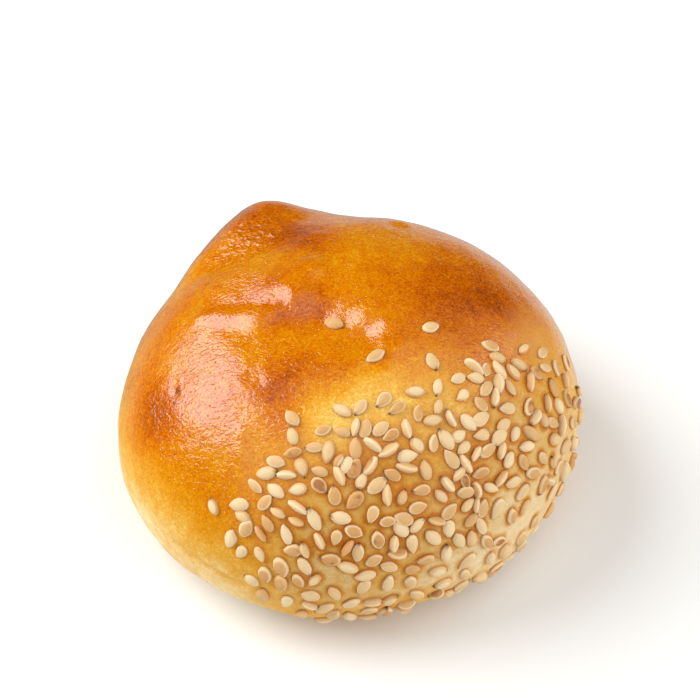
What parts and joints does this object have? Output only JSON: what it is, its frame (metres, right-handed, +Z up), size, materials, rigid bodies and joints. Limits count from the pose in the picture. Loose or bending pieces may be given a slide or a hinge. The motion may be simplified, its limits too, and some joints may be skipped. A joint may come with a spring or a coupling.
{
  "type": "chestnut manju",
  "caption": "Baked filled bun shaped like a chestnut, with a glazed brown dome, a pinched tip and a broad end coated in sesame seeds.",
  "frame": {"origin": "middle of the flat underside, on the surface the bun rests on, straight below the middle of the dough", "axes": "+Z up from the underside through the dome, +Y towards the pinched tip, -Y towards the broad seeded end"},
  "size_m": [0.0684, 0.0697, 0.037],
  "materials": {
    "glazed_crust": "egg-glazed, baked golden brown",
    "toasted_sesame": "hulled and lightly toasted"
  },
  "bodies": {
    "root": {"manju": "glazed_crust"}
  },
  "joints": []
}
